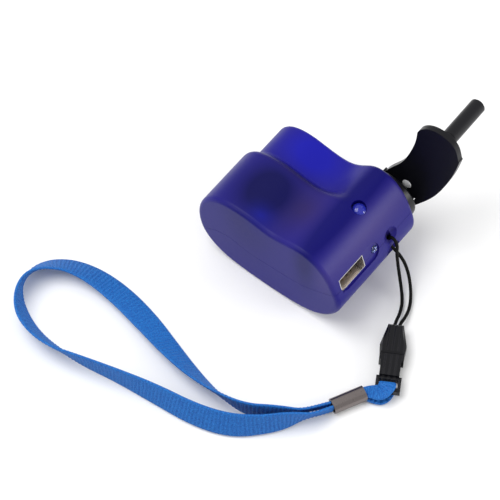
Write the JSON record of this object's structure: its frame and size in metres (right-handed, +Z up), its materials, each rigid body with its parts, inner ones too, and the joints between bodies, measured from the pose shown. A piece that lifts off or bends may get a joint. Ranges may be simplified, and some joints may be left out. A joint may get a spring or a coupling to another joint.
{
  "type": "hand crank phone charger",
  "caption": "Pocket hand crank charger: folding crank with a free-turning knob, gear train and generator in a two-shell case, USB-A socket, lamps and a wrist strap.",
  "frame": {"origin": "middle of the flat patch on the underside that the case rests on", "axes": "+X runs across the case towards its nose and the USB socket, +Y towards the crank, +Z up"},
  "size_m": [0.1315, 0.1499, 0.0581],
  "materials": {
    "case_blue": "frosted translucent",
    "black_plastic": "satin",
    "charcoal_plastic": "satin",
    "inner_plastic": "matte",
    "gear_plastic": "matte",
    "steel": "satin",
    "bright_steel": "polished",
    "brass": "satin",
    "magnet": "matte",
    "core": "matte",
    "tongue": "matte",
    "board": "satin",
    "capacitor": "satin",
    "clear_lamp": "clear",
    "wire": "satin",
    "cord_black": "braided",
    "strap_blue": "ribbed webbing"
  },
  "bodies": {
    "case": {"upper_shell": "case_blue", "lower_shell": "case_blue", "case_screws": "steel", "shaft_bush": "brass", "inner_gear_plate": "inner_plastic", "outer_gear_plate": "inner_plastic", "plate_posts": "inner_plastic", "plate_screws": "steel", "gear_pins": "steel", "generator_can": "steel", "generator_end_bell": "inner_plastic", "generator_magnets": "magnet", "generator_terminals": "brass", "circuit_board": "board", "smoothing_capacitor": "capacitor", "regulator_chip": "black_plastic", "usb_shell": "bright_steel", "usb_tongue": "tongue", "usb_contacts": "brass", "port_lamp": "clear_lamp", "top_lamp": "clear_lamp", "lead_wires": "wire", "lanyard_cord": "cord_black", "buckle_head": "black_plastic", "buckle_body": "black_plastic", "strap_ferrule": "bright_steel", "wrist_strap": "strap_blue"},
    "crank": {"crank_shaft": "steel", "crank_gear": "gear_plastic", "crank_hub": "black_plastic", "hub_screw": "steel", "hinge_pin": "bright_steel"},
    "arm": {"crank_arm": "black_plastic", "hinge_leaf": "steel", "arm_rivet": "bright_steel", "knob_stud": "steel"},
    "knob": {"knob": "charcoal_plastic", "knob_cap": "charcoal_plastic"},
    "stage_one": {"stage_one_gear": "gear_plastic"},
    "stage_two": {"stage_two_gear": "gear_plastic"},
    "rotor": {"generator_rotor": "core", "generator_shaft": "steel", "generator_pinion": "brass"}
  },
  "joints": [
    {"name": "crank_spin", "type": "hinge", "parent": "case", "child": "crank", "pos_m": [0.018, 0.0225, 0.0204], "axis": [0, 1, 0], "continuous": true},
    {"name": "arm_fold", "type": "hinge", "parent": "crank", "child": "arm", "pos_m": [0.018, 0.029, 0.0204], "axis": [-0.9397, 0, 0.342], "range_deg": [-10, 135]},
    {"name": "knob_spin", "type": "hinge", "parent": "arm", "child": "knob", "pos_m": [0.03019, 0.03456, 0.0495], "axis": [-0.0594, 0.9848, -0.1632], "continuous": true},
    {"name": "stage_one_spin", "type": "hinge", "parent": "case", "child": "stage_one", "pos_m": [0.0056, 0.01, 0.01649], "axis": [0, 1, 0], "continuous": true},
    {"name": "stage_two_spin", "type": "hinge", "parent": "case", "child": "stage_two", "pos_m": [-0.00639, 0.007, 0.01691], "axis": [0, 1, 0], "continuous": true},
    {"name": "rotor_spin", "type": "hinge", "parent": "case", "child": "rotor", "pos_m": [-0.01789, 0.004, 0.01671], "axis": [0, 1, 0], "continuous": true}
  ],
  "couplings": [
    {"joint": "stage_one_spin", "follows": "crank_spin", "ratio": -3.3333},
    {"joint": "stage_two_spin", "follows": "crank_spin", "ratio": 10},
    {"joint": "rotor_spin", "follows": "crank_spin", "ratio": -36}
  ]
}
